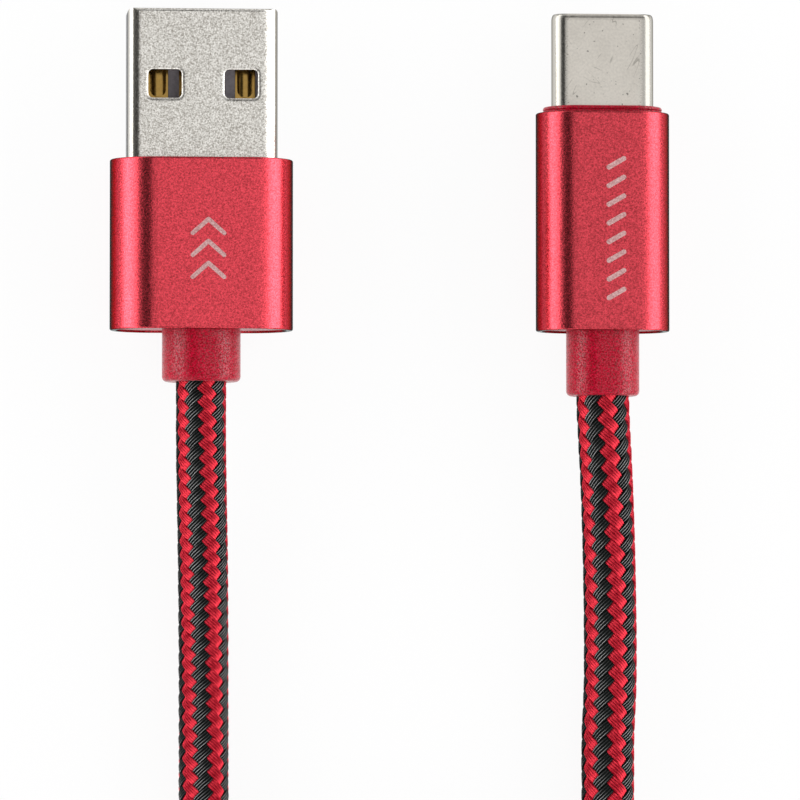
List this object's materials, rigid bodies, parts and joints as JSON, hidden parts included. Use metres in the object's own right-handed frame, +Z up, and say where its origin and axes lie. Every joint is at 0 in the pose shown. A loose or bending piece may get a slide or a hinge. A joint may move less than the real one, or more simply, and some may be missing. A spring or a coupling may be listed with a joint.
{
  "type": "charging cable",
  "caption": "Flexible charging cable with a flat rectangular plug on one end, a small rounded plug on the other, metal sleeve housings and a two-colour braided cord put away in a flat coil",
  "frame": {"origin": "centre of the base of the box round the two plugs, on the surface that the cable lies on", "axes": "+Z up, out of the surface; +X across, from the USB-A plug to the USB-C plug; +Y along the plugs, out of their tips"},
  "size_m": [0.0596, 0.1281, 0.0099],
  "materials": {
    "usb_a_nickel": "fine-grained nickel plating",
    "usb_c_nickel": "satin nickel plating",
    "housing_red": "bead-blasted, anodised red",
    "soft_red": "matte moulded elastomer",
    "insulator_grey": "matte",
    "contact_gold": "gold flashed",
    "contact_spring_steel": "bright",
    "solder": "bright",
    "wire_red": "satin",
    "wire_white": "satin",
    "wire_green": "satin",
    "wire_black": "satin",
    "inner_mould": "matte",
    "board_green": "solder mask",
    "resistor_black": "matte",
    "jacket": "matte",
    "braid": "braid of red and black yarns",
    "tie": "woven hook-and-loop strap",
    "cord": "braid over a jacket, wires and screen"
  },
  "bodies": {
    "root": {"usb_a_shell": "usb_a_nickel", "usb_a_insulator": "insulator_grey", "usb_a_contact_vbus": "contact_gold", "usb_a_contact_data_minus": "contact_gold", "usb_a_contact_data_plus": "contact_gold", "usb_a_contact_ground": "contact_gold", "usb_a_solder_joints": "solder", "usb_a_wire_red": "wire_red", "usb_a_wire_white": "wire_white", "usb_a_wire_green": "wire_green", "usb_a_wire_black": "wire_black", "usb_a_inner_mould": "inner_mould", "usb_a_strain_relief": "soft_red", "usb_a_housing": "housing_red", "usb_a_braid_end": "braid", "usb_a_jacket_end": "jacket", "usb_c_shell": "usb_c_nickel", "usb_c_insulator": "insulator_grey", "usb_c_contacts_upper": "contact_gold", "usb_c_contacts_lower": "contact_gold", "usb_c_latch": "contact_spring_steel", "usb_c_ground_springs": "contact_spring_steel", "usb_c_circuit_board": "board_green", "usb_c_resistor": "resistor_black", "usb_c_solder_joints": "solder", "usb_c_wire_red": "wire_red", "usb_c_wire_white": "wire_white", "usb_c_wire_green": "wire_green", "usb_c_wire_black": "wire_black", "usb_c_inner_mould": "inner_mould", "usb_c_strain_relief": "soft_red", "usb_c_housing": "housing_red", "usb_c_braid_end": "braid", "usb_c_jacket_end": "jacket", "cord_run_usb_a": "cord", "cord_coil": "cord", "coil_tie": "tie", "cord_run_usb_c": "cord"}
  },
  "joints": []
}
